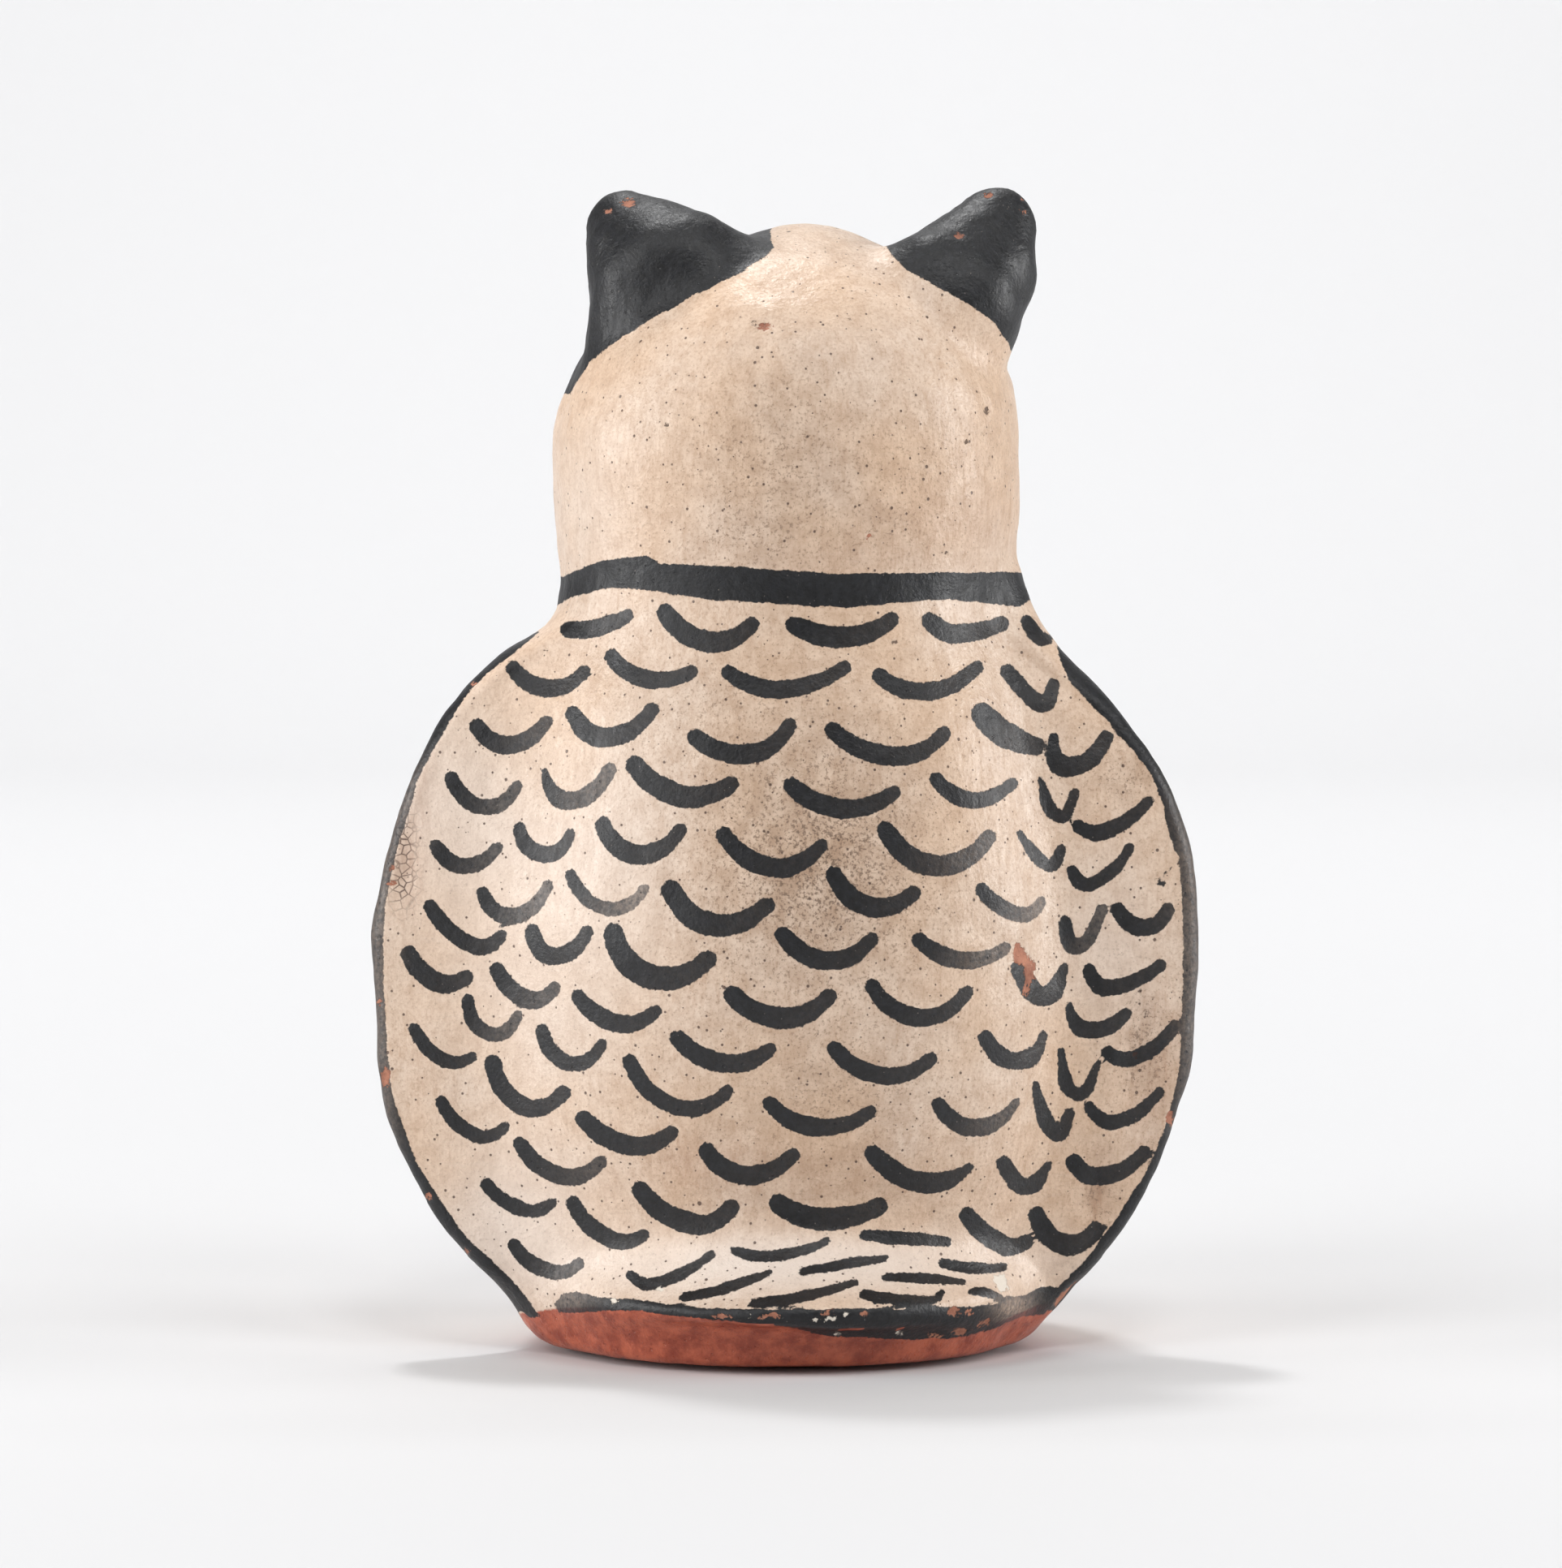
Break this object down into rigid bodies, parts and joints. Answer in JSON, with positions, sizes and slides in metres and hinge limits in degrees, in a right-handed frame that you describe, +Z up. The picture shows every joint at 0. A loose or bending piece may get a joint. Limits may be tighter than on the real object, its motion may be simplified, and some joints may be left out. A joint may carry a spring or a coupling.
{
  "type": "pueblo pottery owl figure",
  "caption": "Hand-built pottery owl with pinched ears, wing flanges and a tail lip, painted with rows of feather strokes, standing on a flat foot.",
  "frame": {"origin": "middle of the flat foot, on the surface the owl stands on", "axes": "+Z up, +Y the way the owl faces, +X towards the owl's right wing"},
  "size_m": [0.134, 0.0983, 0.1898],
  "materials": {
    "slipped_clay": "hand-polished buff slip with matt black paint and a red slip base"
  },
  "bodies": {
    "root": {"owl_figure": "slipped_clay"}
  },
  "joints": []
}
